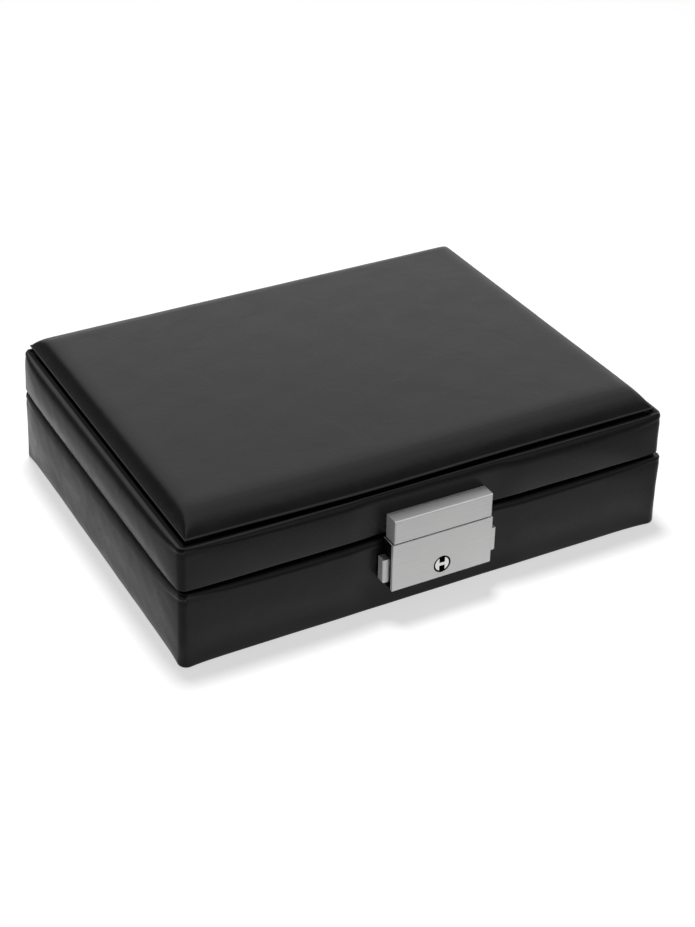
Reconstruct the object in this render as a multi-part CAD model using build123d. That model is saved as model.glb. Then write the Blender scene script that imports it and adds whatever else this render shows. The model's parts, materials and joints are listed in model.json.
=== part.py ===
from build123d import *
from math import cos, radians, sin
import os

# Cufflink box with a hinged lid, an inner sliding drawer and a push-button lock.
# Millimetres. Origin at the centre of the bottom face, +Z up, front towards -Y.

# Outside of the case
width = 200.0
depth = 157.0
base_height = 31.6
seam_gap = 0.4
lid_height = 18.4
corner_radius = 3.0
edge_radius = 2.0

# Sheet and board thicknesses
leather = 2.5
leather_turn = 1.0
pad_leather = 0.9
board = 5.0
floor_board = 4.0
top_board = 4.0
lining = 1.0
floor_pad_thickness = 1.5
felt_proud = 0.4

# Padded panel on top of the lid
panel_inset = 3.4
panel_gap = 0.6
panel_lip = 1.6
crown_rise = 5.6
crown_run = 18.0

# Dividers and runners of the lower level
columns = 5
rows = 4
divider = 1.5
divider_height = 11.3
fit_gap = 0.3
divider_round = 0.6
runner_width = 4.0
runner_height = 2.0
board_round = 1.0

# Drawer
drawer_side_gap = 0.6
drawer_depth = 68.0
drawer_head_room = 4.4
drawer_board = 3.0
drawer_floor_board = 2.0
drawer_divider_drop = 1.6
pull_reach = 7.0
pull_radius = 4.0
pull_stem_radius = 1.2
drawer_stop_gap = 1.0

# Hinges
hinge_inset = 38.0
hinge_width = 30.0
leaf_height = 12.0
leaf_round = 1.0
leaf_screw_spread = 19.2
leaf_screw_rise = 6.6
leaf_thickness = 1.0
knuckle_radius = 2.0
knuckle_length = 8.0
pin_radius = 0.8
running_gap = 0.05
axis_proud = 0.6
lid_open_angle = 100.0
tail_reach = 4.2
tail_angle = 17.0
stop_play = 0.5

# Lock: it hangs under the top edge of the base, and goes out from the front leather
lock_width = 41.5
lock_height = 20.0
lock_drop = 0.6
face_thickness = 0.6
face_slit = 0.4
face_foot_radius = 1.0
face_foot_inset = 3.0
case_wall = 0.8
case_depth = 5.2
case_round = 0.4
backplate = 0.8
key_rise = 5.7
key_head_radius = 3.05
key_ring_gap = 0.5
key_head_sink = 0.6
key_neck_radius = 2.6
key_tail_radius = 1.5
key_slot_width = 2.3
key_slot_depth = 2.4
key_slot_sink = 2.1
cam_reach = 9.2
cam_width = 2.8
cam_thickness = 0.8
cam_clear = 0.4

# Strike plate and sliding latches
strike_thickness = 1.0
strike_out = 2.2
strike_half_width = 12.5
strike_bar_gap = 0.9
leg_inner = 7.5
leg_end_gap = 0.4
leg_lead = 0.8
slider_out = 0.4
slider_thickness = 1.3
nose_width = 2.2
nose_drop = 5.4
nose_height = 2.4
nose_clear = 0.15
nose_play = 0.4
latch_travel = 1.5
latch_slack = 0.25
link_height = 3.5
lug_width = 1.2
post_width = 0.8
tab_proud = 2.9
tab_rise = 3.6
tab_height = 9.8
tab_depth = 3.9
tab_round = 0.6
spring_wire = 0.2
spring_radius = 1.0
spring_end_gap = 0.1
spring_turns = 4

# Hasp
hasp_width = 40.4
hasp_height = 9.7
hasp_gap = 0.3
hasp_round = 0.5
strike_root = 4.5

# Screws
screw_head_radius = 1.7
screw_radius = 0.8
screw_gap = 0.1
leaf_screw_length = 7.0
lock_screw_length = 6.0
lock_screw_rise = 4.2
lock_screw_drop = 4.4
lock_screw_inset = 3.0
lock_screw_offset = 2.0
hasp_screw_inset = 5.2
hasp_screw_bite = 4.0
hasp_screw_radius = 1.1
hasp_screw_head = 2.2

# Derived places
half_width = width / 2
half_depth = depth / 2
wood_half_width = half_width - leather
wood_half_depth = half_depth - leather
inner_half_width = wood_half_width - board
inner_half_depth = wood_half_depth - board
room_half_width = inner_half_width - lining
room_half_depth = inner_half_depth - lining

cover_bottom = felt_proud
floor_bottom = cover_bottom + leather_turn
floor_top = floor_bottom + floor_board
wall_top = base_height - leather_turn
floor_pad_top = floor_top + floor_pad_thickness
divider_top = floor_pad_top + divider_height
runner_bottom = divider_top + fit_gap
runner_top = runner_bottom + runner_height

lid_bottom = base_height + seam_gap
lid_top = lid_bottom + lid_height
lid_wall_bottom = lid_bottom + leather_turn
lid_board_top = lid_top - leather_turn
lid_board_bottom = lid_board_top - top_board
lid_pad_bottom = lid_board_bottom - lining

panel_bottom = lid_top + panel_gap
panel_board_top = panel_bottom + panel_lip
panel_half_width = half_width - panel_inset
panel_half_depth = half_depth - panel_inset

drawer_bottom = runner_top + fit_gap
drawer_top = lid_pad_bottom - drawer_head_room
drawer_half_width = room_half_width - drawer_side_gap
drawer_back = room_half_depth - drawer_side_gap
drawer_front = drawer_back - drawer_depth
drawer_floor_top = drawer_bottom + drawer_floor_board
drawer_pad_top = drawer_floor_top + lining
drawer_divider_top = drawer_top - drawer_divider_drop
drawer_inner_half_width = drawer_half_width - drawer_board
drawer_travel = drawer_front - pull_reach - drawer_stop_gap + room_half_depth

hinge_spacing = width - 2 * hinge_inset
hinge_y = half_depth + axis_proud
hinge_z = base_height + seam_gap / 2

lock_top = base_height - lock_drop
lock_bottom = lock_top - lock_height
key_height = lock_bottom + key_rise
lock_half_width = lock_width / 2
case_inner_half = lock_half_width - case_wall
case_inner_bottom = lock_bottom + case_wall
case_inner_top = lock_top - case_wall
case_front_inner = case_depth - case_wall
face_back = case_depth + face_slit
face_front = face_back + face_thickness
key_bore_radius = key_head_radius + key_ring_gap

hasp_bottom = lock_top + hasp_gap
hasp_top = hasp_bottom + hasp_height

strike_front = strike_out + strike_thickness
leg_end = case_inner_bottom + leg_end_gap
nose_bottom = lock_top - nose_drop
nose_top = nose_bottom + nose_height
nose_outer = leg_inner - nose_clear
slider_front = slider_out + slider_thickness
slider_inner = nose_outer - nose_width - fit_gap * 2
tab_outer = lock_half_width + tab_proud
tab_bottom = lock_bottom + tab_rise
tab_top = tab_bottom + tab_height
lug_outer = case_inner_half - latch_travel - latch_slack
lug_inner = lug_outer - lug_width
post_inner = strike_half_width + fit_gap * 2
post_outer = post_inner + post_width
tab_inner = post_outer + latch_travel - fit_gap
spring_z = (nose_bottom + nose_top) / 2 - fit_gap
spring_out = slider_out + spring_radius + fit_gap * 2


def block(x, y, z):
    """A box between two corners: x, y and z are (low, high) pairs."""
    size = [high - low for low, high in (x, y, z)]
    middle = [(low + high) / 2 for low, high in (x, y, z)]
    return Pos(*middle) * Box(*size)


def lock_block(x, out, z):
    """A box whose second pair is the distance out from the front leather."""
    return block(x, (-half_depth - out[1], -half_depth - out[0]), z)


def sheet(half_x, half_y, z):
    """A rectangular slab centred on the box."""
    return block((-half_x, half_x), (-half_y, half_y), z)


def mirrored(pair, side):
    """A (low, high) pair of distances from the middle, put on one side."""
    return tuple(sorted((side * pair[0], side * pair[1])))


def rod(radius, start, end, direction):
    """A cylinder from start to end along X or Y."""
    length = max(abs(b - a) for a, b in zip(start, end))
    middle = [(a + b) / 2 for a, b in zip(start, end)]
    turn = Rot(0, 90, 0) if direction == "x" else Rot(90, 0, 0)
    return Pos(*middle) * turn * Cylinder(radius, length)


def group(solids):
    """Separate solids kept in one piece of the assembly."""
    return Compound(children=list(solids))


# Screws: a countersunk head at the head point, the shank along +Y or -Y


def screw(head, length, radius, head_radius, way, gap=0.0):
    head_depth = head_radius - radius
    wide = head_radius + gap
    narrow = radius + gap
    profile = Polyline(
        (0, 0),
        (wide, 0),
        (narrow, -head_depth),
        (narrow, -length - gap),
        (0, -length - gap),
        close=True,
    )
    turned = revolve(make_face(Plane.XZ * profile), Axis.Z)
    tilt = Rot(90, 0, 0) if way > 0 else Rot(-90, 0, 0)
    return Pos(*head) * tilt * turned


def leaf_screw_heads(lid_side):
    up = 1 if lid_side else -1
    z = hinge_z + up * (knuckle_radius + leaf_screw_rise)
    return [
        (side * hinge_spacing / 2 + step * leaf_screw_spread / 2, half_depth, z)
        for side in (-1, 1)
        for step in (-1, 1)
    ]


def leaf_screws(lid_side, gap=0.0):
    return [
        screw(head, leaf_screw_length, screw_radius, screw_head_radius, -1, gap)
        for head in leaf_screw_heads(lid_side)
    ]


def lock_screws(gap=0.0):
    low = (leg_inner + lock_screw_offset, lock_bottom + lock_screw_rise)
    high = (case_inner_half - lock_screw_inset, lock_top - lock_screw_drop)
    spots = [(side * x, -half_depth, z) for side in (-1, 1) for x, z in (low, high)]
    return [
        screw(spot, lock_screw_length, screw_radius, screw_head_radius, 1, gap) for spot in spots
    ]


def hasp_screws(gap=0.0):
    x = hasp_width / 2 - hasp_screw_inset
    z = (lid_wall_bottom + hasp_top) / 2
    length = board + leather + hasp_screw_bite
    return [
        screw((side * x, -inner_half_depth, z), length, hasp_screw_radius, hasp_screw_head, -1, gap)
        for side in (-1, 1)
    ]


# Hinges


def sector(inner, outer, low_angle, high_angle, x):
    """A wedge about the hinge axis, between two angles from +Y towards +Z."""
    corners = [(inner, low_angle), (outer, low_angle), (outer, high_angle), (inner, high_angle)]
    points = [(r * cos(radians(a)), r * sin(radians(a))) for r, a in corners]
    face = make_face(Plane.YZ * Polyline(*points, close=True))
    return Pos(x[0], hinge_y, hinge_z) * extrude(face, x[1] - x[0])


def knuckle(x, radius=knuckle_radius):
    return rod(radius, (x[0], hinge_y, hinge_z), (x[1], hinge_y, hinge_z), "x")


def hinge_leaf(side, lid_side):
    """One leaf: plate, knuckles and the tail that stops the lid."""
    middle = side * hinge_spacing / 2
    low = middle - hinge_width / 2
    high = middle + hinge_width / 2
    up = 1 if lid_side else -1
    clear = knuckle_radius + fit_gap
    plate_y = (half_depth - leaf_thickness, half_depth)
    plate_z = sorted((hinge_z + up * clear, hinge_z + up * (clear + leaf_height)))
    strip_z = sorted((hinge_z + up * 0.5, hinge_z + up * (clear + 0.5)))
    if lid_side:
        gap = knuckle_length + fit_gap
        spans = [(low + gap, high - gap)]
    else:
        spans = [(low, low + knuckle_length), (high - knuckle_length, high)]
    leaf = block((low, high), plate_y, plate_z)
    far_corners = leaf.edges().filter_by(Axis.Y).group_by(Axis.Z)[-1 if lid_side else 0]
    leaf = fillet(far_corners, leaf_round)
    for span in spans:
        leaf += block(span, plate_y, strip_z)
        leaf += knuckle(span)
    # The two tails meet when the lid stands open
    half_open = lid_open_angle / 2
    inner = knuckle_radius - 0.3
    if lid_side:
        leaf += sector(inner, tail_reach, half_open, half_open + tail_angle, spans[0])
    else:
        stop = -half_open - stop_play
        for span in spans:
            leaf += sector(inner, tail_reach, stop - tail_angle, stop, span)
        leaf += sector(clear, tail_reach, stop - tail_angle, stop, (low, high))
    leaf -= knuckle((low - 1, high + 1), pin_radius + running_gap)
    for space in leaf_screws(lid_side, running_gap):
        leaf -= space
    return leaf


def hinge_pins():
    ends = hinge_width / 2 + 0.4
    return group(
        knuckle((side * hinge_spacing / 2 - ends, side * hinge_spacing / 2 + ends), pin_radius)
        for side in (-1, 1)
    )


def hinge_space(lid_side):
    """What the leather gives up to the two hinges."""
    up = 1 if lid_side else -1
    reach = knuckle_radius + fit_gap + leaf_height + fit_gap
    half = hinge_width / 2 + fit_gap
    spaces = []
    for side in (-1, 1):
        middle = side * hinge_spacing / 2
        x = (middle - half, middle + half)
        z = sorted((hinge_z, hinge_z + up * reach))
        spaces.append(block(x, (half_depth - leaf_thickness, half_depth + 1), z))
        spaces.append(knuckle(x, knuckle_radius + fit_gap))
    return spaces


# Leather covers and boards


def rounded_shell(bottom, top):
    shell = sheet(half_width, half_depth, (bottom, top))
    shell = fillet(shell.edges().filter_by(Axis.Z), corner_radius)
    ends = shell.faces().sort_by(Axis.Z)
    return fillet(ends[0].edges() + ends[-1].edges(), edge_radius)


def base_cover():
    cover = rounded_shell(cover_bottom, base_height)
    cover -= sheet(wood_half_width, wood_half_depth, (floor_bottom, wall_top))
    cover -= sheet(inner_half_width, inner_half_depth, (-1, base_height + 1))
    cover -= lock_block((-lock_half_width, lock_half_width), (-backplate, 1),
                        (lock_bottom, lock_top))
    for space in hinge_space(False) + leaf_screws(False, screw_gap) + lock_screws(screw_gap):
        cover -= space
    return cover


def lid_cover():
    cover = sheet(half_width, half_depth, (lid_bottom, lid_top))
    cover = fillet(cover.edges().filter_by(Axis.Z), corner_radius)
    cover = fillet(cover.faces().sort_by(Axis.Z)[-1].edges(), edge_radius)
    cover = fillet(cover.faces().sort_by(Axis.Z)[0].edges(), leather_turn * 0.8)
    cover -= sheet(wood_half_width, wood_half_depth, (lid_wall_bottom, lid_board_top))
    cover -= sheet(inner_half_width, inner_half_depth, (lid_bottom - 1, lid_top + 1))
    for space in hinge_space(True) + leaf_screws(True, screw_gap) + hasp_screws(screw_gap):
        cover -= space
    return cover


def wall_set(prefix, bottom, top, screw_spaces):
    """Front and back walls run the full width, the side walls fit between them."""
    walls = {
        "front_wall": block((-wood_half_width, wood_half_width),
                            (-wood_half_depth, -inner_half_depth), (bottom, top)),
        "back_wall": block((-wood_half_width, wood_half_width),
                           (inner_half_depth, wood_half_depth), (bottom, top)),
        "left_wall": block((-wood_half_width, -inner_half_width),
                           (-inner_half_depth, inner_half_depth), (bottom, top)),
        "right_wall": block((inner_half_width, wood_half_width),
                            (-inner_half_depth, inner_half_depth), (bottom, top)),
    }
    for space in screw_spaces:
        name = "front_wall" if space.center().Y < 0 else "back_wall"
        walls[name] -= space
    return {f"{prefix}_{name}": wall for name, wall in walls.items()}


def lining_ring(bottom, top):
    outer = sheet(inner_half_width, inner_half_depth, (bottom, top))
    return outer - sheet(room_half_width, room_half_depth, (bottom - 1, top + 1))


def soft_top(strip, along, radius):
    """A strip whose long top edges are rounded by its wrapping."""
    return fillet(strip.edges().filter_by(along).group_by(Axis.Z)[-1], radius)


# Padded panel of the lid


def crown_profile(half_length, lip, rise, run):
    """Half-length, straight lip, then quarter ellipses up to a flat top."""
    flat = half_length - run
    lines = [
        Line((-half_length, 0), (half_length, 0)),
        Line((half_length, 0), (half_length, lip)),
        EllipticalCenterArc((flat, lip), run, rise, start_angle=0, arc_size=90),
        Line((flat, lip + rise), (-flat, lip + rise)),
        EllipticalCenterArc((-flat, lip), run, rise, start_angle=90, arc_size=90),
        Line((-half_length, lip), (-half_length, 0)),
    ]
    return make_face(Wire(lines))


def crowned_pad(half_x, half_y, bottom, lip, rise):
    across = extrude(Plane.XZ * crown_profile(half_x, lip, rise, crown_run), half_y, both=True)
    along = extrude(Plane.YZ * crown_profile(half_y, lip, rise, crown_run), half_x, both=True)
    return Pos(0, 0, bottom) * (across & along)


def panel_inside():
    return crowned_pad(panel_half_width - pad_leather, panel_half_depth - pad_leather,
                       panel_bottom, panel_lip, crown_rise - pad_leather)


def pad_cover():
    outer = crowned_pad(panel_half_width, panel_half_depth, panel_bottom, panel_lip, crown_rise)
    return outer - panel_inside()


def pad_foam():
    return panel_inside() - sheet(half_width, half_depth, (panel_bottom - 1, panel_board_top))


def overlay_board():
    plate = sheet(panel_half_width - pad_leather, panel_half_depth - pad_leather,
                  (panel_bottom, panel_board_top))
    foot = sheet(inner_half_width - fit_gap, inner_half_depth - fit_gap,
                 (lid_board_top, panel_bottom))
    return plate + foot


# Dividers: strips half-lapped where they cross


def column_places():
    pitch = 2 * room_half_width / columns
    return [-room_half_width + pitch * (i + 1) for i in range(columns - 1)]


def row_places():
    pitch = 2 * room_half_depth / rows
    return [-room_half_depth + pitch * (i + 1) for i in range(rows - 1)]


def long_divider(y):
    reach = room_half_width - fit_gap
    strip = block((-reach, reach), (y - divider / 2, y + divider / 2), (floor_pad_top, divider_top))
    strip = soft_top(strip, Axis.X, divider_round)
    half = (floor_pad_top + divider_top) / 2
    slot = divider / 2 + running_gap
    for x in column_places():
        strip -= block((x - slot, x + slot), (y - divider, y + divider), (half, divider_top + 1))
    return strip


def cross_divider(x):
    reach = room_half_depth - fit_gap
    strip = block((x - divider / 2, x + divider / 2), (-reach, reach), (floor_pad_top, divider_top))
    strip = soft_top(strip, Axis.Y, divider_round)
    half = (floor_pad_top + divider_top) / 2
    slot = divider / 2 + running_gap
    for y in row_places():
        strip -= block((x - divider, x + divider), (y - slot, y + slot), (floor_pad_top - 1, half))
    return strip


def runner(side):
    return block(mirrored((room_half_width - runner_width, room_half_width), side),
                 (-room_half_depth, room_half_depth), (runner_bottom, runner_top))


# Drawer


def pull_place():
    return (0, drawer_front, (drawer_bottom + drawer_top) / 2)


def drawer_pull():
    x, y, z = pull_place()
    rim = 0.8
    neck = pull_radius * 0.45
    profile = Polyline(
        (0, pull_reach),
        (pull_radius - rim, pull_reach),
        (pull_radius, pull_reach - rim),
        (pull_radius, pull_reach - 2 * rim),
        (neck, pull_reach * 0.45),
        (neck, 0),
        (pull_stem_radius, 0),
        (pull_stem_radius, -drawer_board),
        (0, -drawer_board),
        close=True,
    )
    return Pos(x, y, z) * Rot(90, 0, 0) * revolve(make_face(Plane.XZ * profile), Axis.Z)


def drawer_boards():
    z = (drawer_floor_top, drawer_top)
    full = (-drawer_half_width, drawer_half_width)
    between = (drawer_front + drawer_board, drawer_back - drawer_board)
    side = (drawer_half_width - drawer_board, drawer_half_width)
    front = soft_top(block(full, (drawer_front, drawer_front + drawer_board), z), Axis.X, board_round)
    back = soft_top(block(full, (drawer_back - drawer_board, drawer_back), z), Axis.X, board_round)
    x, y, height = pull_place()
    front -= rod(pull_stem_radius + running_gap, (x, y - 1, height),
                 (x, y + drawer_board + 1, height), "y")
    return {
        "drawer_floor": block(full, (drawer_front, drawer_back), (drawer_bottom, drawer_floor_top)),
        "drawer_front": front,
        "drawer_back": back,
        "drawer_left_side": soft_top(block(mirrored(side, -1), between, z), Axis.Y, board_round),
        "drawer_right_side": soft_top(block(mirrored(side, 1), between, z), Axis.Y, board_round),
        "drawer_pad": block((-drawer_inner_half_width, drawer_inner_half_width), between,
                            (drawer_floor_top, drawer_pad_top)),
    }


def drawer_places():
    pitch = 2 * drawer_inner_half_width / columns
    return [-drawer_inner_half_width + pitch * (i + 1) for i in range(columns - 1)]


def drawer_divider(x):
    y = (drawer_front + drawer_board + fit_gap, drawer_back - drawer_board - fit_gap)
    strip = block((x - divider / 2, x + divider / 2), y, (drawer_pad_top, drawer_divider_top))
    return soft_top(strip, Axis.Y, divider_round)


# Lock


def front_rod(radius, out):
    """A cylinder on the key's axis between two distances out."""
    return rod(radius, (0, -half_depth - out[1], key_height),
               (0, -half_depth - out[0], key_height), "y")


def lock_backplate():
    half = case_inner_half - fit_gap
    z = (case_inner_bottom, case_inner_top)
    plate = lock_block((-half, half), (-backplate, 0), z)
    for side in (-1, 1):
        plate += lock_block(mirrored((post_inner, post_outer), side), (-backplate, case_front_inner),
                            (nose_bottom - fit_gap * 2, nose_top))
    plate -= front_rod(key_tail_radius + running_gap, (-backplate - 1, 1))
    for space in lock_screws(running_gap):
        plate -= space
    return plate


def lock_case():
    case = lock_block((-lock_half_width, lock_half_width), (-backplate, case_depth),
                      (lock_bottom, lock_top))
    case = fillet(case.edges().filter_by(Axis.Y), case_round)
    case = fillet(case.faces().sort_by(Axis.Y)[0].edges(), case_round / 2)
    case -= lock_block((-case_inner_half, case_inner_half), (-backplate - 1, case_front_inner),
                       (case_inner_bottom, case_inner_top))
    # Side slots for the two tabs and a top slot for the strike plate
    for side in (-1, 1):
        case -= lock_block(mirrored((case_inner_half - 1, lock_half_width + 1), side),
                           (slider_out - fit_gap, slider_out + tab_depth + fit_gap),
                           (tab_bottom - fit_gap, tab_top + fit_gap))
    case -= lock_block((-strike_half_width - fit_gap * 2, strike_half_width + fit_gap * 2),
                       (strike_out - fit_gap, case_front_inner), (case_inner_top - 1, lock_top + 1))
    case -= front_rod(key_bore_radius, (case_front_inner - 1, case_depth + 1))
    return case


def lock_face():
    face = lock_block((-lock_half_width, lock_half_width), (face_back, face_front),
                      (lock_bottom, lock_top))
    face = fillet(face.edges().filter_by(Axis.Y), case_round)
    face = chamfer(face.faces().sort_by(Axis.Y)[0].edges(), case_round / 2)
    # Four low feet seat the plate on the case
    x = lock_half_width - face_foot_inset
    for foot_x in (-x, x):
        for foot_z in (lock_bottom + face_foot_inset, lock_top - face_foot_inset):
            face += rod(face_foot_radius, (foot_x, -half_depth - face_back, foot_z),
                        (foot_x, -half_depth - case_depth, foot_z), "y")
    return face - front_rod(key_bore_radius, (face_back - 1, face_front + 1))


def key_cylinder():
    cylinder = front_rod(key_head_radius, (case_front_inner - key_head_sink, face_front - 0.1))
    cylinder += front_rod(key_neck_radius, (strike_out + cam_thickness + 0.1, case_front_inner))
    cylinder += front_rod(key_tail_radius, (-backplate, case_front_inner))
    for side in (-1, 1):
        far = (key_head_radius - key_slot_depth, key_head_radius + 1)
        z = sorted((key_height + side * far[0], key_height + side * far[1]))
        cylinder -= lock_block((-key_slot_width / 2, key_slot_width / 2),
                               (face_front - key_slot_sink, face_front + 1), z)
    return cylinder


def cam():
    low = strike_out + 0.1
    hub = front_rod(key_neck_radius, (low, low + cam_thickness))
    hub += lock_block((-cam_width / 2, cam_width / 2), (low, low + cam_thickness),
                      (key_height, key_height + cam_reach))
    return hub - front_rod(key_tail_radius, (low - 1, low + 2))


def strike_plate():
    """Two legs on a crossbar, notched for the latches and, on the right, for the cam."""
    bar_bottom = nose_top + strike_bar_gap
    plate = lock_block((-strike_half_width, strike_half_width), (strike_out, strike_front),
                       (bar_bottom, hasp_bottom + strike_root))
    for side in (-1, 1):
        leg = lock_block(mirrored((leg_inner, strike_half_width), side),
                         (strike_out, strike_front), (leg_end, bar_bottom))
        leg = chamfer(leg.edges().filter_by(Axis.Y).group_by(Axis.Z)[0], leg_lead)
        leg -= lock_block(mirrored((leg_inner - 1, nose_outer + latch_travel + fit_gap * 2), side),
                          (strike_out - 1, strike_front + 1),
                          (nose_bottom - nose_play, nose_top + nose_play))
        plate += leg
    # The cam's arm sweeps into the right leg, so the notch reaches up as far as it enters
    corner_reach = (cam_reach ** 2 + (cam_width / 2) ** 2) ** 0.5
    arm_low = key_height - cam_width / 2 - cam_clear
    arm_high = key_height + (corner_reach ** 2 - leg_inner ** 2) ** 0.5 + cam_clear
    plate -= lock_block((leg_inner - 1, corner_reach + cam_clear),
                        (strike_out - 1, strike_front + 1), (arm_low, arm_high))
    return plate


def button(side):
    """A sliding latch: outer tab, inner plate, nose and spring lug."""
    deep = (slider_out, slider_out + tab_depth)
    thin = (slider_out, slider_front)
    tab = lock_block(mirrored((tab_inner, tab_outer), side), deep, (tab_bottom, tab_top))
    tab = fillet(tab.faces().sort_by(Axis.X)[-1 if side > 0 else 0].edges(), tab_round)
    slide = lock_block(mirrored((slider_inner, tab_inner), side), thin,
                       (tab_top - link_height, tab_top))
    slide += lock_block(mirrored((slider_inner, nose_outer), side), thin, (tab_top, nose_top))
    slide += lock_block(mirrored((nose_outer - nose_width, nose_outer), side),
                        (slider_out, strike_front - 0.1), (nose_bottom, nose_top))
    slide += lock_block(mirrored((lug_inner, lug_outer), side), deep, (tab_top, nose_top))
    return slide + tab


def button_spring(side):
    """A compression spring between the post and the lug."""
    room = lug_inner - post_outer - 2 * spring_end_gap - spring_wire
    start = post_outer + spring_end_gap + spring_wire / 2
    path = Helix(pitch=room / spring_turns, height=room, radius=spring_radius)
    coil = sweep(Plane(path @ 0, z_dir=path % 0) * Circle(spring_wire / 2), path=path)
    return Pos(side * start, -half_depth - spring_out, spring_z) * Rot(0, side * 90, 0) * coil


def hasp():
    half = hasp_width / 2
    body = lock_block((-half, half), (0, face_front), (hasp_bottom, hasp_top))
    body = fillet(body.faces().sort_by(Axis.Y)[0].edges(), hasp_round)
    body -= lock_block((-strike_half_width, strike_half_width), (strike_out, strike_front),
                       (hasp_bottom - 1, hasp_bottom + strike_root))
    for space in hasp_screws(running_gap):
        body -= space
    return body


# The whole box

pieces = {
    "base_floor": sheet(wood_half_width, wood_half_depth, (floor_bottom, floor_top)),
    "base_cover": base_cover(),
    "base_felt": sheet(inner_half_width, inner_half_depth, (0, floor_bottom)),
    "base_wall_lining": lining_ring(floor_top, base_height),
    "base_floor_pad": sheet(room_half_width, room_half_depth, (floor_top, floor_pad_top)),
    "left_runner": runner(-1),
    "right_runner": runner(1),
}
pieces.update(wall_set("base", floor_top, wall_top,
                       leaf_screws(False, screw_gap) + lock_screws(screw_gap)))
for i, y in enumerate(row_places()):
    pieces[f"long_divider_{i + 1}"] = long_divider(y)
for i, x in enumerate(column_places()):
    pieces[f"cross_divider_{i + 1}"] = cross_divider(x)

pieces.update(drawer_boards())
pieces["drawer_pull"] = drawer_pull()
for i, x in enumerate(drawer_places()):
    pieces[f"drawer_divider_{i + 1}"] = drawer_divider(x)

pieces["lid_cover"] = lid_cover()
pieces["lid_top_board"] = sheet(wood_half_width, wood_half_depth, (lid_board_bottom, lid_board_top))
pieces["lid_wall_lining"] = lining_ring(lid_bottom, lid_pad_bottom)
pieces["lid_lining_pad"] = sheet(inner_half_width, inner_half_depth,
                                 (lid_pad_bottom, lid_board_bottom))
pieces.update(wall_set("lid", lid_wall_bottom, lid_board_bottom,
                       leaf_screws(True, screw_gap) + hasp_screws(screw_gap)))
pieces["overlay_board"] = overlay_board()
pieces["pad_foam"] = pad_foam()
pieces["pad_cover"] = pad_cover()

for side, word in ((-1, "left"), (1, "right")):
    pieces[f"{word}_hinge_base_leaf"] = hinge_leaf(side, False)
    pieces[f"{word}_hinge_lid_leaf"] = hinge_leaf(side, True)
    pieces[f"{word}_button"] = button(side)
    pieces[f"{word}_button_spring"] = button_spring(side)
pieces["hinge_pins"] = hinge_pins()
pieces["hinge_base_screws"] = group(leaf_screws(False))
pieces["hinge_lid_screws"] = group(leaf_screws(True))

pieces["lock_backplate"] = lock_backplate()
pieces["lock_case"] = lock_case()
pieces["lock_face"] = lock_face()
pieces["lock_screws"] = group(lock_screws())
pieces["key_cylinder"] = key_cylinder()
pieces["key_cam"] = cam()
pieces["strike_plate"] = strike_plate()
pieces["hasp"] = hasp()
pieces["hasp_screws"] = group(hasp_screws())

os.makedirs("parts", exist_ok=True)
for name, shape in pieces.items():
    export_step(shape, f"parts/{name}.step")
print(f"{len(pieces)} pieces written, the drawer travels {drawer_travel:.1f} mm")
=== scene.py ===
import bpy
import json
import math
import numpy as np
from mathutils import Matrix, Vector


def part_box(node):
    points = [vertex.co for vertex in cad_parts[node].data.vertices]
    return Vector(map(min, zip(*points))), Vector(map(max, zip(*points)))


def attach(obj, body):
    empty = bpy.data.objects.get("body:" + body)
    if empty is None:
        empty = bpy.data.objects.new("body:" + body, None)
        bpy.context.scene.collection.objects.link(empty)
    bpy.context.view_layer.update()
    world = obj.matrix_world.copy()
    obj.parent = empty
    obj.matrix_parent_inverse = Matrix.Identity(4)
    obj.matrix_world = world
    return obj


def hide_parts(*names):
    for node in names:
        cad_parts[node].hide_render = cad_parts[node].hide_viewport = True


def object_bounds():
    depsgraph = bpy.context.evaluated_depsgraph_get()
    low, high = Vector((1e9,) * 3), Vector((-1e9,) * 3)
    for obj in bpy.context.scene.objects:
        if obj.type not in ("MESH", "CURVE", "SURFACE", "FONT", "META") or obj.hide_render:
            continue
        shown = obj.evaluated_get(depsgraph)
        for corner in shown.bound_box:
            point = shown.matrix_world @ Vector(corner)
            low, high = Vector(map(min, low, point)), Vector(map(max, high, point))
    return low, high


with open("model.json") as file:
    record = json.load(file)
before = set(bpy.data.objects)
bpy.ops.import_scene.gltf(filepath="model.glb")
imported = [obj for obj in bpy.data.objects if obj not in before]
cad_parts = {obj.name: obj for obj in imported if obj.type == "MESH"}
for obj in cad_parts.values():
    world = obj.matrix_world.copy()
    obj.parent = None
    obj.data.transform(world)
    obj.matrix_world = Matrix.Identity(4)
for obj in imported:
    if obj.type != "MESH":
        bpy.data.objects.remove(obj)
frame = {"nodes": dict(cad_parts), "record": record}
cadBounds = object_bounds()
nodes = frame["nodes"]
mm = 0.001  # shapes are worked out in millimetres and put into meshes in metres
print("frame loaded:", len(nodes), "nodes")

# The camera was solved from the edges of the case in the photo
cameraPlace = {
    "azimuth": -28.58,
    "elevation": 32.49,
    "roll": 0.92,
    "distance": 0.7203,
    "focalPixels": 1792.7,
    "imageHeight": 927,
    "right": 0.00584,
    "up": 0.0098,
}


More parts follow.
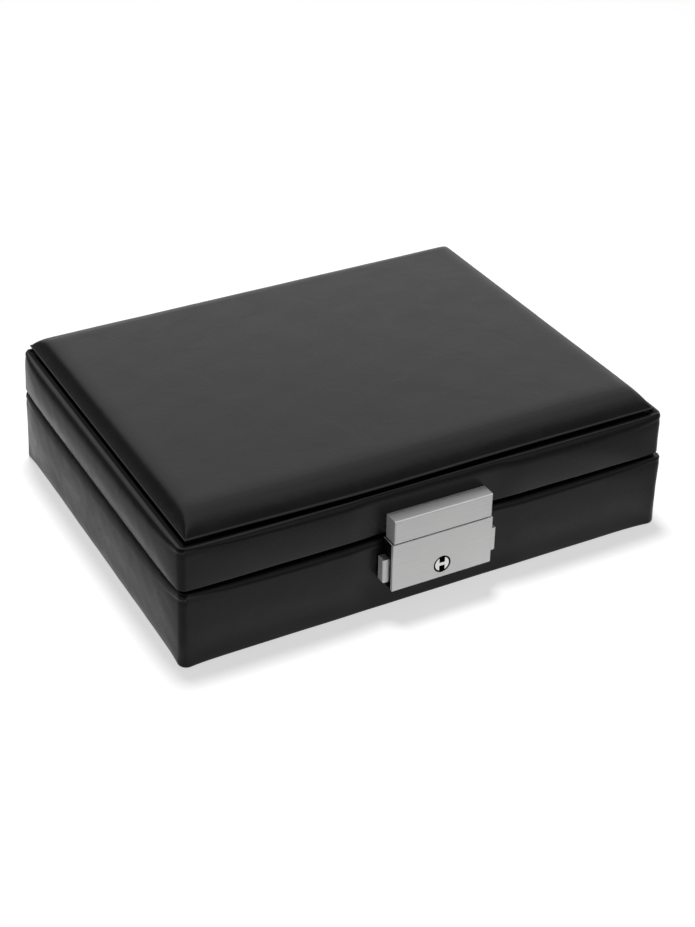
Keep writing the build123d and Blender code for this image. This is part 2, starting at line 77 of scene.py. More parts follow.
def makeCamera(place):
    az, el, roll = (math.radians(place[key]) for key in ("azimuth", "elevation", "roll"))
    back = np.array([math.sin(az) * math.cos(el), -math.cos(az) * math.cos(el), math.sin(el)])
    level = np.cross(-back, [0, 0, 1])
    level /= np.linalg.norm(level)
    over = np.cross(level, -back)
    right = math.cos(roll) * level + math.sin(roll) * over
    up = math.cos(roll) * over - math.sin(roll) * level
    spot = back * place["distance"] + right * place["right"] + up * place["up"]
    data = bpy.data.cameras.new("camera")
    data.sensor_width = 36
    data.lens = place["focalPixels"] * data.sensor_width / place["imageHeight"]
    data.clip_start, data.clip_end = 0.01, 20
    camera = bpy.data.objects.new("camera", data)
    bpy.context.scene.collection.objects.link(camera)
    matrix = np.eye(4)
    matrix[:3] = np.column_stack([right, up, back, spot])
    camera.matrix_world = Matrix(matrix)
    bpy.context.scene.camera = camera


makeCamera(cameraPlace)


class Wiring:
    # Short ways to add nodes to a tree; each input is a number, a colour or another node's output
    def __init__(self, tree):
        self.tree = tree
        self.coords = tree.nodes.new("ShaderNodeTexCoord")

    def node(self, kind, inputs, **settings):
        made = self.tree.nodes.new(kind)
        for key, value in settings.items():
            setattr(made, key, value)
        for key, value in inputs.items():
            self.feed(made.inputs[key], value)
        return made

    def feed(self, socket, value):
        if isinstance(value, bpy.types.NodeSocket):
            self.tree.links.new(value, socket)
        else:
            socket.default_value = value

    def maths(self, operation, a, b=0.0):
        return self.node("ShaderNodeMath", {0: a, 1: b}, operation=operation).outputs[0]

    def times(self, a, b):
        return self.maths("MULTIPLY", a, b)

    def together(self, operation, values):
        total = values[0]
        for value in values[1:]:
            total = self.maths(operation, total, value)
        return total

    def vectors(self, operation, a, b=(0, 0, 0)):
        made = self.node("ShaderNodeVectorMath", {0: a, 1: b}, operation=operation)
        return made.outputs["Value" if operation in ("DISTANCE", "DOT_PRODUCT") else "Vector"]

    def split(self, vector):
        return self.node("ShaderNodeSeparateXYZ", {"Vector": vector}).outputs

    def spread(self, value, low, high, start=0.3, end=0.7, kind="LINEAR"):
        inputs = {"Value": value, "From Min": start, "From Max": end, "To Min": low, "To Max": high}
        return self.node("ShaderNodeMapRange", inputs, interpolation_type=kind).outputs["Result"]

    def softStep(self, value, edge, low, high):
        return self.spread(value, low, high, *edge, "SMOOTHSTEP")


class Finish(Wiring):
    # A material whose patterns are all on Object coordinates
    def __init__(self, name):
        self.material = bpy.data.materials.new(name)
        self.material.use_nodes = True
        super().__init__(self.material.node_tree)
        self.shader = self.tree.nodes["Principled BSDF"]

    def place(self, scale=(1, 1, 1)):
        inputs = {"Vector": self.coords.outputs["Object"], "Scale": scale}
        return self.node("ShaderNodeMapping", inputs).outputs["Vector"]

    def noise(self, vector, scale, detail=4, roughness=0.5, distortion=0.0):
        inputs = {"Vector": vector, "Scale": scale, "Detail": detail, "Roughness": roughness,
                  "Distortion": distortion}
        return self.node("ShaderNodeTexNoise", inputs).outputs["Fac"]

    def tint(self, value, dark, light):
        # From one colour to another
        inputs = {0: value, 6: (*dark, 1), 7: (*light, 1)}
        return self.node("ShaderNodeMix", inputs, data_type="RGBA").outputs[2]

    def blendTone(self, value, colour, grey):
        # From a linked colour to an even grey
        inputs = {0: value, 6: colour, 7: (grey, grey, grey, 1)}
        return self.node("ShaderNodeMix", inputs, data_type="RGBA").outputs[2]

    def bump(self, height, distance, strength, under=None):
        inputs = {"Height": height, "Distance": distance, "Strength": strength}
        if under is not None:
            inputs["Normal"] = under
        return self.node("ShaderNodeBump", inputs).outputs["Normal"]

    def close(self, sockets):
        for key, value in sockets.items():
            self.feed(self.shader.inputs[key], value)
        return self.material


leatherFinish = {
    "dark": (0.0022, 0.0022, 0.0024),
    "light": (0.0052, 0.0052, 0.0055),
    "roughness": (0.24, 0.34),
    "ior": 1.36,
    "cloudScale": 14,
    "grainScale": 900,
    "grainDepth": 0.03 * mm,
    "mottleScale": 75,
    "mottleDepth": 0.35 * mm,
}
# Painted shade in the groove round the padded panel: its reflection is cut to stand in for the
# shade of a deeper groove. On the lid's top face, from this inset inwards and down to this depth,
# the specular level is only this share of the plain one
padGrooveShade = {"node": "lid_cover", "inset": 2.0 * mm, "soft": 0.25 * mm, "above": 0.05 * mm,
             "depth": 1.5 * mm, "plain": 0.5, "share": 0.12}


# Painted shade: the leather's specular level, lowered in the groove round the pad
def paintedGrooveShade(finish, look):
    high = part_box(look["node"])[1]
    parts = finish.split(finish.vectors("ABSOLUTE", finish.coords.outputs["Object"]))
    masks = [finish.maths("LESS_THAN", parts["Z"], high[2] + look["above"]),
             finish.maths("GREATER_THAN", parts["Z"], high[2] - look["depth"])]
    for axis, reach in (("X", high[0]), ("Y", high[1])):
        edge = reach - look["inset"]
        masks.append(finish.spread(parts[axis], 1, 0, edge - look["soft"], edge + look["soft"]))
    groove = finish.together("MULTIPLY", masks)
    return finish.spread(groove, look["plain"], look["plain"] * look["share"], 0, 1)


def leather(look):
    finish = Finish("black_leather")
    plain = finish.place()
    mottle = finish.noise(plain, look["mottleScale"], detail=5, roughness=0.6, distortion=0.6)
    grain = finish.noise(plain, look["grainScale"], detail=3, roughness=0.6)
    cloud = finish.noise(plain, look["cloudScale"], detail=3, distortion=0.4)
    soft = finish.bump(mottle, look["mottleDepth"], strength=0.35)
    return finish.close({
        "Base Color": finish.tint(cloud, look["dark"], look["light"]),
        "Roughness": finish.spread(mottle, *look["roughness"]),
        "IOR": look["ior"],
        # painted shade: the specular level is lowered in the groove round the pad
        "Specular IOR Level": paintedGrooveShade(finish, padGrooveShade),
        "Normal": finish.bump(grain, look["grainDepth"], strength=0.5, under=soft),
    })


velourFinish = {
    "dark": (0.016, 0.016, 0.018),
    "light": (0.052, 0.052, 0.057),
    "pileScale": 2600,
    "strokeScale": 42,
    "strokeLength": (1, 0.45, 1),  # brushed marks are longer from front to back
    "pileDepth": 0.25 * mm,
}


def velour(look):
    finish = Finish("grey_velour")
    plain = finish.place()
    drawn = finish.place(look["strokeLength"])
    pile = finish.noise(plain, look["pileScale"], detail=2, roughness=0.7)
    stroke = finish.noise(drawn, look["strokeScale"], roughness=0.55, distortion=1.2)
    tone = finish.times(finish.spread(stroke, 0.45, 1), finish.spread(pile, 0.6, 1))
    return finish.close({
        "Base Color": finish.tint(tone, look["dark"], look["light"]),
        "Roughness": 0.95,
        "Specular IOR Level": 0.15,
        "Sheen Weight": 0.4,
        "Sheen Roughness": 0.45,
        "Sheen Tint": (0.75, 0.76, 0.8, 1),
        "Normal": finish.bump(pile, look["pileDepth"], strength=0.6),
    })


# Each edge value is the grey of the painted highlight on the rounded edges
metalFinishes = {
    "satin_nickel": {"dark": (0.65, 0.65, 0.647), "light": (0.79, 0.79, 0.785), "edge": 0.92,
                     "roughness": (0.42, 0.5), "brush": (30, 2600, 2600), "depth": 0.02 * mm,
                     "stretch": 0.6, "endRoughness": 0.3, "darkCase": True},
    "bright_nickel": {"dark": (0.80, 0.80, 0.79), "light": (0.88, 0.88, 0.87), "edge": 0.9,
                      "roughness": (0.05, 0.12), "brush": (300, 300, 300), "depth": 0.004 * mm,
                      "stretch": 0.0, "endRoughness": 0.0, "darkCase": False},
    "plated_steel": {"dark": (0.42, 0.42, 0.41), "light": (0.56, 0.56, 0.55), "edge": 0.7,
                     "roughness": (0.22, 0.36), "brush": (60, 900, 900), "depth": 0.01 * mm,
                     "stretch": 0.0, "endRoughness": 0.0, "darkCase": False},
}
# Painted highlight: metal edges, found by their normal, get a lighter, less metallic colour
edgeHighlight = (0.995, 0.86)  # the largest part of the normal on a flat face, and on an edge
# Painted shade in the keyhole: it is coloured dark inside, round the key's axis, below the front of
# the face plate
keyholeShade = {"node": "lock_face", "axis": "key_cylinder", "reach": 0.6 * mm, "below": 0.12 * mm,
           "rim": 0.2 * mm, "spare": 0.02 * mm, "tone": 0.01}
# The lock's case is coloured near black: everything behind the face plate and within the case's
# outside, but for the strike plate, which lies inside it while the lid is shut
darkCaseLook = {"node": "lock_case", "plate": "lock_face", "bare": "strike_plate",
             "grow": 0.05 * mm, "tone": 0.015}


# Where the painted shade of the keyhole goes: inside it, and on the barrel's rim
def keyholeShadeMask(finish, look):
    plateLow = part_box(look["node"])[0]
    low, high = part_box(look["axis"])
    barrel = (high[0] - low[0]) / 2
    centre = [(a + b) / 2 for a, b in zip(low, high)]
    parts = finish.split(finish.coords.outputs["Object"])
    flat = finish.node("ShaderNodeCombineXYZ", {"X": parts["X"], "Z": parts["Z"]}).outputs[0]
    away = finish.vectors("DISTANCE", flat, (centre[0], 0, centre[2]))
    near = finish.maths("LESS_THAN", away, barrel + look["reach"] + look["spare"])
    deep = finish.spread(parts["Y"], 0, 1, plateLow[1] + look["below"],
                         plateLow[1] + 3 * look["below"])
    # The barrel's own rim gets painted shade too
    rim = finish.times(finish.maths("GREATER_THAN", away, barrel - look["rim"]),
                       finish.maths("LESS_THAN", away, barrel + look["spare"]))
    return finish.maths("MAXIMUM", finish.times(near, deep), rim)


def caseMask(finish, look):
    high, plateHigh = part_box(look["node"])[1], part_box(look["plate"])[1]
    bareLow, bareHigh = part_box(look["bare"])
    grow = look["grow"]
    parts = finish.split(finish.coords.outputs["Object"])
    across = finish.maths("ABSOLUTE", parts["X"])
    within = finish.together("MULTIPLY", [
        finish.maths("LESS_THAN", across, high[0] + grow),
        finish.maths("LESS_THAN", parts["Z"], high[2] + grow),
        finish.maths("GREATER_THAN", parts["Y"], plateHigh[1] - grow),
    ])
    clear = finish.together("MAXIMUM", [
        finish.maths("GREATER_THAN", across, bareHigh[0] + grow),
        finish.maths("LESS_THAN", parts["Z"], bareLow[2] - grow),
        finish.maths("LESS_THAN", parts["Y"], bareLow[1] - grow),
        finish.maths("GREATER_THAN", parts["Y"], bareHigh[1] + grow),
    ])
    return finish.times(within, clear)


def metal(name, look):
    # Brushed lines run along X, and the rounded edges get a painted highlight: lighter and less
    # metallic
    finish = Finish(name)
    brush = finish.noise(finish.place(look["brush"]), 1.0, roughness=0.65)
    cloud = finish.noise(finish.place(), scale=90, detail=3)
    tone = finish.times(finish.spread(brush, 0.4, 1), finish.spread(cloud, 0.8, 1))
    parts = finish.split(finish.vectors("ABSOLUTE", finish.coords.outputs["Normal"]))
    largest = finish.together("MAXIMUM", [parts[axis] for axis in "XYZ"])
    plain = finish.tint(tone, look["dark"], look["light"])
    # the lock's case is coloured near black
    if look["darkCase"]:
        plain = finish.blendTone(caseMask(finish, darkCaseLook), plain, darkCaseLook["tone"])
    # painted highlight: the rounded edges are lighter and, below, less metallic
    highlightedEdges = finish.blendTone(finish.spread(largest, 0, 1, *edgeHighlight), plain, look["edge"])
    sockets = {
        # painted shade darkens the keyhole and the barrel's rim
        "Base Color": finish.blendTone(keyholeShadeMask(finish, keyholeShade), highlightedEdges, keyholeShade["tone"]),
        "Metallic": finish.spread(largest, 1, 0.6, *edgeHighlight),
        "Roughness": finish.maths("ADD", finish.spread(brush, *look["roughness"]),
                                  finish.times(parts["X"], look["endRoughness"])),
        "Normal": finish.bump(brush, look["depth"], strength=0.5),
    }
    if look["stretch"]:
        around = finish.node("ShaderNodeTangent", {}, direction_type="RADIAL", axis="X")
        sockets["Tangent"] = around.outputs["Tangent"]
        sockets["Anisotropic"] = finish.times(finish.maths("SUBTRACT", 1.0, parts["X"]),
                                              look["stretch"])
    return finish.close(sockets)


def rawBoard():
    finish = Finish("fibreboard")
    fibre = finish.noise(finish.place(), scale=900, detail=6, roughness=0.75)
    cloud = finish.noise(finish.place(), scale=60, detail=3)
    tone = finish.times(finish.spread(fibre, 0.2, 1), finish.spread(cloud, 0.7, 1))
    return finish.close({
        "Base Color": finish.tint(tone, (0.20, 0.13, 0.075), (0.52, 0.38, 0.24)),
        "Roughness": 0.85,
        "Normal": finish.bump(fibre, distance=0.1 * mm, strength=0.5),
    })


def felt():
    finish = Finish("black_felt")
    fibre = finish.noise(finish.place(), scale=1400, detail=6, roughness=0.8, distortion=2.0)
    return finish.close({
        "Base Color": finish.tint(fibre, (0.006, 0.006, 0.007), (0.035, 0.035, 0.037)),
        "Roughness": 0.98,
        "Sheen Weight": 0.25,
        "Sheen Roughness": 0.5,
        "Normal": finish.bump(fibre, distance=0.3 * mm, strength=0.8),
    })


def foam():
    finish = Finish("padding")
    inputs = {"Vector": finish.place(), "Scale": 1500.0}
    cells = finish.node("ShaderNodeTexVoronoi", inputs).outputs["Distance"]
    return finish.close({
        "Base Color": finish.tint(cells, (0.45, 0.43, 0.36), (0.82, 0.80, 0.72)),
        "Roughness": 0.9,
        "Normal": finish.bump(cells, distance=0.3 * mm, strength=0.6),
    })


materials = {name: metal(name, look) for name, look in metalFinishes.items()}
materials["black_leather"] = leather(leatherFinish)
materials["grey_velour"] = velour(velourFinish)
materials["velour_wrapped_board"] = materials["grey_velour"]
materials["spring_steel"] = materials["plated_steel"]
materials["fibreboard"] = rawBoard()
materials["black_felt"] = felt()
materials["padding"] = foam()

for part in frame["record"]["subparts"]:
    node = nodes[part["node"]]
    node.data.materials.clear()
    node.data.materials.append(materials[part["material_slot"]])
print("materials made:", len(materials))


def boxOf(name):
    low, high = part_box(name)
    return np.array(low) / mm, np.array(high) / mm


def quadsOf(number, closed):
    # The faces of a grid of point numbers; closed says which of its two directions join up
    if closed[0]:
        number = np.concatenate([number, number[:1]], 0)
    if closed[1]:
        number = np.concatenate([number, number[:, :1]], 1)
    quads = [number[:-1, :-1], number[1:, :-1], number[1:, 1:], number[:-1, 1:]]
    return np.stack(quads, -1).reshape(-1, 4)


def meshFrom(name, grids):
    # Several grids become one closed mesh: points at the same place are joined, and the faces
    # are turned outwards by the sign of the volume, the sum of a . (b x c) over the triangles.
    points, faces, start = [], [], 0
    for grid, closed in grids:
        number = np.arange(grid.shape[0] * grid.shape[1]).reshape(grid.shape[:2]) + start
        start += number.size
        points.append(grid.reshape(-1, 3))
        faces.append(quadsOf(number, closed))
    points, faces = np.concatenate(points), np.concatenate(faces)
    keys, first, same = np.unique(np.round(points, 5), axis=0, return_index=True,
                                  return_inverse=True)
    points, faces = points[first], same.reshape(-1)[faces]
    a, b, c, d = (points[faces[:, i]] for i in range(4))
    volume = (a * np.cross(b, c)).sum() + (a * np.cross(c, d)).sum()
    if volume < 0:
        faces = faces[:, ::-1]
    mesh = bpy.data.meshes.new(name)
    mesh.from_pydata((points * mm).tolist(), [], faces.tolist())
    mesh.validate()
    mesh.update()
    return mesh


sharpAngle = 40  # degrees; an edge that bends more is shaded as a crease


def addPiece(name, mesh, body, slot, replaced):
    mesh.materials.append(materials[slot])
    mesh.polygons.foreach_set("use_smooth", np.ones(len(mesh.polygons), bool))
    mesh.set_sharp_from_angle(angle=math.radians(sharpAngle))
    piece = bpy.data.objects.new(name, mesh)
    bpy.context.scene.collection.objects.link(piece)
    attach(piece, body)
    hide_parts(*replaced)
    return piece


def drift(x, y, z, wave):
    # A slow uneven swell of about -1 to 1: three sines over slanted directions, wave long
    turn = 2 * math.pi / wave
    return (np.sin(turn * (x + 0.6 * y + 0.3 * z) + 0.4)
            + np.sin(turn * (0.7 * y - 1.1 * x + 0.8 * z) * 0.73 + 1.9)
            + np.sin(turn * (0.5 * x - 1.3 * y + 1.7 * z) * 1.31 + 3.1)) / 3


# The two leather covers: each is a closed profile of (inset, height) carried round the case
coverRim = {
    "cornerRadius": 3.0,
    "tightest": 0.15,  # corner radius where the inset is deeper than the corner
    "denseZone": 40.0,
    "denseSteps": 34,
    "densePower": 1.35,  # above 1, the places crowd towards the corner
    "plainStep": 2.6,
    "cornerSteps": 12,
    "squeezeFrom": 20.0,  # inner rows are shortened only this near the corners
}


def sidePlaces(look, centre, marks):
    # Places along a side: an uneven spacing that is dense at the corners, with the marks added
    steps = np.linspace(0, 1, look["denseSteps"]) ** look["densePower"]
    near = centre - look["denseZone"] * steps
    count = int(2 * near[-1] / look["plainStep"])
    middle = np.linspace(-near[-1], near[-1], max(count, 2))
    return np.unique(np.round(np.concatenate([near, -near, middle, marks]), 4))


def rimStations(look, half, marks):
    # Stations anticlockwise from the front left corner: the side (0 front, 1 right, 2 back,
    # 3 left), the place along it, and how far the corner after it has turned, from 0 to 1
    parts = []
    for side in range(4):
        centre = half[side % 2] - look["cornerRadius"]
        places = sidePlaces(look, centre, marks[side])
        turns = np.linspace(0, 1, look["cornerSteps"])[1:-1]
        along = np.concatenate([places, np.full(len(turns), centre)])
        turned = np.concatenate([np.zeros(len(places)), turns])
        parts.append(np.stack([np.full(len(along), side), along, turned]))
    return np.concatenate(parts, 1)


def toCorners(look, half, stations):
    # How far each station is from the nearest corner, 0 all round the corner itself
    side, place, turned = (row[:, None] for row in stations)
    end = np.where(side % 2 == 1, half[1], half[0]) - look["cornerRadius"]
    return np.where(turned > 0, 0, end - np.abs(place))


def carryRound(look, half, stations, inset, height):
    # point = along the side + out to the corner's centre + the corner's radius at its angle.
    # The radius shrinks with the inset, and the side shortens with it near the corners only.
    side, place, turned = (row[:, None] for row in stations)
    odd = side % 2 == 1
    halfAlong = np.where(odd, half[1], half[0])
    halfAcross = np.where(odd, half[0], half[1])
    radius = np.maximum(look["cornerRadius"] - inset, look["tightest"])
    outerEnd = halfAlong - look["cornerRadius"]
    start = outerEnd - look["squeezeFrom"]
    shorter = (halfAlong - inset - radius - start) / (outerEnd - start)
    beyond = np.maximum(np.abs(place) - start, 0)
    along = np.sign(place) * (np.minimum(np.abs(place), start) + beyond * shorter)
    way, out = side * math.pi / 2, (side - 1) * math.pi / 2
    angle = out + turned * math.pi / 2
    across = halfAcross - inset - radius
    x = np.cos(way) * along + np.cos(out) * across + np.cos(angle) * radius
    y = np.sin(way) * along + np.sin(out) * across + np.sin(angle) * radius
    return np.stack([x, y, np.broadcast_to(height, x.shape)], -1), angle


def smooth(value):
    # 3 s^2 - 2 s^3, which goes from 0 to 1 with a soft start and end
    share = np.clip(value, 0, 1)
    return share ** 2 * (3 - 2 * share)


def quarter(width, rise, steps):
    # A quarter ellipse from (width, 0) to (0, rise)
    a = np.linspace(0, math.pi / 2, steps)
    return width * (1 - np.sin(a)), rise * (1 - np.cos(a))


def coverProfile(look, bottom, top, marks):
    # Down the outside: turned-in edge, shoulder, side, lower roll, and back up inside
    w, h, r = look["shoulderWidth"][0], look["shoulderHeight"][0], look["lowerRadius"]
    topInset, topDrop = quarter(w, h, look["shoulderSteps"])
    lowInset, lowRise = quarter(r, r, look["lowerSteps"])
    upper = np.arange(top - h, top - h - look["fineZone"], -look["fineStep"])
    lower = np.linspace(upper[-1], bottom + r, int((upper[-1] - bottom - r) / look["step"]) + 2)
    side = np.concatenate([upper, lower, marks])
    side = np.unique(np.round(side[(side < top - h) & (side > bottom + r)], 4))[::-1]
    turn, skin, wood = look["turn"], look["skin"], look["turnedIn"]
    turnedIn = w + (wood - w) * np.linspace(1, 0, look["edgeSteps"])[:-1] ** look["edgePower"]
    under = np.linspace(*look["stepInset"], look["underSteps"])
    inner = [wood, wood, skin, skin, wood]
    inset = np.concatenate([turnedIn, topInset, np.zeros(len(side)), lowInset[::-1], under, inner])
    height = np.concatenate([np.full(len(turnedIn), top), top - topDrop, side,
                             bottom + lowRise[::-1], np.full(len(under), bottom),
                             [bottom, bottom + turn, bottom + turn, top - turn, top - turn]])
    outer = np.arange(len(inset)) < len(inset) - len(inner)
    return inset, height, outer


def tightenShoulder(look, inset, height, outer, near, lean, bottom, top):
    # The shoulder is tight at the corners and full between them: on the upper half, insets and
    # drops are stretched in two straight pieces, so that the shoulder gets its width and height
    wood, drop = look["turnedIn"], top - height
    middle, deep = (bottom + top) / 2, (top - bottom) / 2
    upper = outer & (height > middle)
    (w, wCorner), (h, hCorner) = look["shoulderWidth"], look["shoulderHeight"]
    wHere, hHere = w + (wCorner - w) * near, (h + (hCorner - h) * near) * lean
    inward = np.where(inset <= w, inset * wHere / w,
                      wood - (wood - inset) * (wood - wHere) / (wood - w))
    down = np.where(drop <= h, drop * hHere / h,
                    deep - (deep - drop) * (deep - hHere) / (deep - h))
    # On the lid the turned-in edge goes down into the groove round the pad
    dip = look["dip"] * smooth((inward - look["dipFrom"]) / look["dipWidth"])
    shaped = np.where(upper, top - down - np.where(drop <= h, dip, 0), height)
    # Outside the step's inset the edges stand back from the seam
    start, end = look["stepInset"]
    outside = outer * (1 - smooth((inset - start) / (end - start))) * (1 - look["stepLess"] * near)
    high = np.clip((shaped - middle) / (deep - hHere), 0, 1)
    low = np.clip((middle - shaped) / (deep - look["lowerRadius"]), 0, 1)
    shaped = shaped + outside * (look["bottomStep"] * low - look["topStep"] * high)
    return np.where(upper, inward, inset), shaped, hHere


def coverSwell(look, inset, height, outer, high, turned, toCorner, shoulder, face, bottom, top):
    # The leather's outward shift: full between the corners, in or out by an amount below and
    # another above at the corner itself, and a fold under the shoulder that deepens towards it
    share = np.clip((height - bottom) / (top - bottom), 0, 1)
    corner = np.exp(-toCorner / look["cornerReach"])
    belly = np.sin(math.pi * share) ** look["bellyPower"]
    kick = look["cornerLow"] * (1 - share) ** look["lowPower"] + high * share
    shift = face * (1 - corner) * belly + kick * np.exp(-toCorner / look["cornerKick"])
    # The corner itself goes on with the slope that the sides have there
    slope = kick / look["cornerKick"] - np.mean(look["swell"]) * belly / look["cornerReach"]
    shift = shift + coverRim["cornerRadius"] / 2 * slope * np.sin(math.pi * turned)
    shift = shift + look["flare"] * (1 - share) * (face > 0) * (1 - corner)
    below = top - height - shoulder - look["foldGap"]
    width = np.where(below < 0, look["foldWidth"], look["foldWidth"] * look["foldTail"])
    depth = look["foldDepth"] * np.exp(-toCorner / look["foldReach"])
    shift = shift - depth * np.exp(-(below / width) ** 2)
    fade = np.clip(1 - inset / look["turnedIn"], 0, 1)
    return np.where(outer, shift * fade, 0)


roundingGap = 0.001  # a point this near a pocket's edge is inside it


def sinkPocket(grid, x, z, y):
    # Leather within the ranges lies no further out than y, on the front or on the back
    inside = ((grid[..., 0] > x[0] - roundingGap) & (grid[..., 0] < x[1] + roundingGap)
              & (grid[..., 2] > z[0] - roundingGap) & (grid[..., 2] < z[1] + roundingGap))
    nearer = np.maximum if y < 0 else np.minimum
    grid[..., 1] = np.where(inside, nearer(grid[..., 1], y), grid[..., 1])


baseCoverLook = {
    "shoulderWidth": (2.9, 1.2),  # between the corners, and at them
    "shoulderHeight": (3.2, 1.7),
    "sidesTaller": 1.75,  # the shoulder's height on the sides over that on the front
    "shoulderReach": (17.0, 7.0),  # on the front and sides, and on the back
    "lowerRadius": 1.2,
    "turnedIn": 7.5,  # how far in the leather reaches over the boards' edges
    "skin": 2.5,  # how thick the leather is with its padding
    "turn": 1.0,  # and how thick where it is turned in
    "step": 0.7,  # between points down the side, with finer ones below the shoulder
    "fineStep": 0.3,
    "fineZone": 4.5,
    "shoulderSteps": 40,
    "lowerSteps": 8,
    "edgeSteps": 27,
    "edgePower": 1.8,  # above 1, the turned-in edge's points crowd towards the shoulder
    "underSteps": 6,
    "stepInset": (3.3, 3.8),  # the edges stand back from the seam outside these insets
    "topStep": 0.85,  # by this much at the top edge, and at the bottom edge
    "bottomStep": 0.0,
    "stepLess": 0.4,  # so much less at the corners
    "lean": 0.0,  # the front's shoulder is this much higher towards the right
    "swell": (1.0, 1.5),  # on the front, and on the sides
    "bellyPower": 0.7,  # below 1, the swell is fuller near the top and the bottom
    "flare": 0.0,  # more swell towards the bottom
    "cornerLow": 0.9,  # how far out each corner stands at the bottom
    "lowPower": 1.5,
    "cornerHigh": (1.0, -0.3, -0.1, -0.3),  # and at the top: front right, back right, and on
    "cornerKick": 6.0,  # along the side this fades over this length
    "cornerReach": 8.0,  # and the swell between the corners starts over this one
    "foldGap": 0.35,  # how far below the shoulder the fold lies
    "foldDepth": 0.25,
    "foldWidth": 0.55,
    "foldTail": 2.6,  # the fold's lower flank is this much longer
    "foldReach": 8.0,
    "dip": 0.0,  # how far down the turned-in edge goes, from this inset on
    "dipFrom": 3.3,
    "dipWidth": 0.5,
    "ripple": 0.05,
    "rippleWave": 23,
}
lidCoverLook = dict(baseCoverLook, shoulderWidth=(1.8, 1.2), shoulderHeight=(3.8, 2.0),
                    sidesTaller=1.1, lowerRadius=0.5, topStep=0.9, bottomStep=0.95, lean=0.45,
                    swell=(0.9, 1.8), flare=0.1, cornerLow=-0.3,
                    cornerHigh=(-0.4, -0.4, -1.4, -0.4), dip=0.75)

# The leather is pressed in under the hinge leaves and their knuckles, and under the lock
hingePocket = {"gap": 0.3, "plateSink": 1.0, "knuckleSink": 1.75, "knuckleReach": 2.3}
# Beside the lock the front is flat as far as flatFrom, and swells fully from flatTo on
lockPocket = {"sink": 0.8, "flatFrom": 24.5, "flatTo": 37.0}
markGap = 0.02  # the cover has points this far on either side of a pocket's edge


def markPair(value):
    return [value - markGap, value + markGap]


def hingeSpans():
    spans = []
    for name in ("left_hinge_base_leaf", "right_hinge_base_leaf"):
        low, high = boxOf(name)
        spans.append((low[0] - hingePocket["gap"], high[0] + hingePocket["gap"]))
    return spans


def coverPockets(halfDepth, leafNode):
    # Each pocket: its range along X, its range of heights, and the Y that it is pressed in to
    lockLow, lockHigh = boxOf("lock_case")
    leafLow, leafHigh = boxOf(leafNode)
    seam = (boxOf("base_cover")[1][2] + boxOf("lid_cover")[0][2]) / 2
    gap, knuckle = hingePocket["gap"], hingePocket["knuckleReach"]
    pockets = [((lockLow[0], lockHigh[0]), (lockLow[2], lockHigh[2]),
                lockPocket["sink"] - halfDepth)]
    for span in hingeSpans():
        pockets.append((span, (leafLow[2] - gap, leafHigh[2] + gap),
                        halfDepth - hingePocket["plateSink"]))
        pockets.append((span, (seam - knuckle, seam + knuckle),
                        halfDepth - hingePocket["knuckleSink"]))
    return pockets


def pocketMarks(pockets):
    # Places along each side, and heights, at which the cover needs points for its pockets
    front = [m for x, z, y in pockets if y < 0 for edge in x for m in markPair(edge)]
    back = [m for x, z, y in pockets if y > 0 for edge in x for m in markPair(-edge)]
    heights = [m for x, z, y in pockets for edge in z for m in markPair(edge)]
    return [front, [], back, []], heights


def coverPiece(name, node, look, leafNode, body):
    low, high = boxOf(node)
    half, bottom, top = high[:2], low[2], high[2]
    pockets = coverPockets(half[1], leafNode)
    marks, heights = pocketMarks(pockets)
    stations = rimStations(coverRim, half, marks)
    side, place, turned = (row[:, None] for row in stations)
    toCorner = toCorners(coverRim, half, stations)
    reach = np.where((side == 2) & (turned == 0), *look["shoulderReach"][::-1])
    inset, height, outer = coverProfile(look, bottom, top, heights)
    lean = np.where(side == 0, 1 + look["lean"] * place / half[0], look["sidesTaller"])
    inset, height, shoulder = tightenShoulder(look, inset, height, outer,
                                              np.exp(-toCorner / reach), lean, bottom, top)
    grid, angle = carryRound(coverRim, half, stations, inset, height)
    # The front lies flat beside the lock, and the back is drawn flat between its corners
    flatFrom, flatTo = lockPocket["flatFrom"], lockPocket["flatTo"]
    free = smooth((np.abs(place) - flatFrom) / (flatTo - flatFrom))
    ahead, beside = look["swell"]
    face = np.select([side == 0, side == 2], [ahead * free, 0 * free], beside)
    # Each corner stands in or out at the top by its own amount
    first = side.astype(int)
    nearest = np.where((turned > 0) | (place > 0), first, (first + 3) % 4)
    high = np.array(look["cornerHigh"])[nearest]
    shift = coverSwell(look, inset, height, outer, high, turned, toCorner, shoulder, face,
                       bottom, top)
    ripple = look["ripple"] * drift(*np.moveaxis(grid, -1, 0), look["rippleWave"]) * (shift != 0)
    shift = shift + ripple * np.where(side == 2, 0, 1)
    grid[..., 0] += np.cos(angle) * shift
    grid[..., 1] += np.sin(angle) * shift
    for pocket in pockets:
        sinkPocket(grid, *pocket)
    addPiece(name, meshFrom(name, [(grid, (True, True))]), body, "black_leather", [node])


coverPiece("baseCover", "base_cover", baseCoverLook, "left_hinge_base_leaf", "base")
coverPiece("lidCover", "lid_cover", lidCoverLook, "left_hinge_lid_leaf", "lid")
print("covers made")


# Where the crown of a panel has points, as shares of its run in from an edge or a seam
crownShares = (0, 0.003, 0.009, 0.018, 0.035, 0.06, 0.1, 0.15, 0.22, 0.3, 0.4, 0.52, 0.66, 0.82)
leastStep = 0.02  # closer places than this are dropped


def planStations(half, seams, step, run):
    # Places across a panel: even, with closer ones beside its edges and seams
    even = np.linspace(-half, half, int(2 * half / step))
    close = run * np.array(crownShares)
    beside = [seam + sign * close for seam in seams for sign in (-1, 1)]
    places = np.concatenate([even, half - close, close - half, *beside])
    places = np.unique(np.round(places[np.abs(places) <= half], 3))
    keep = np.concatenate([[True], np.diff(places) > leastStep])
    return places[keep]


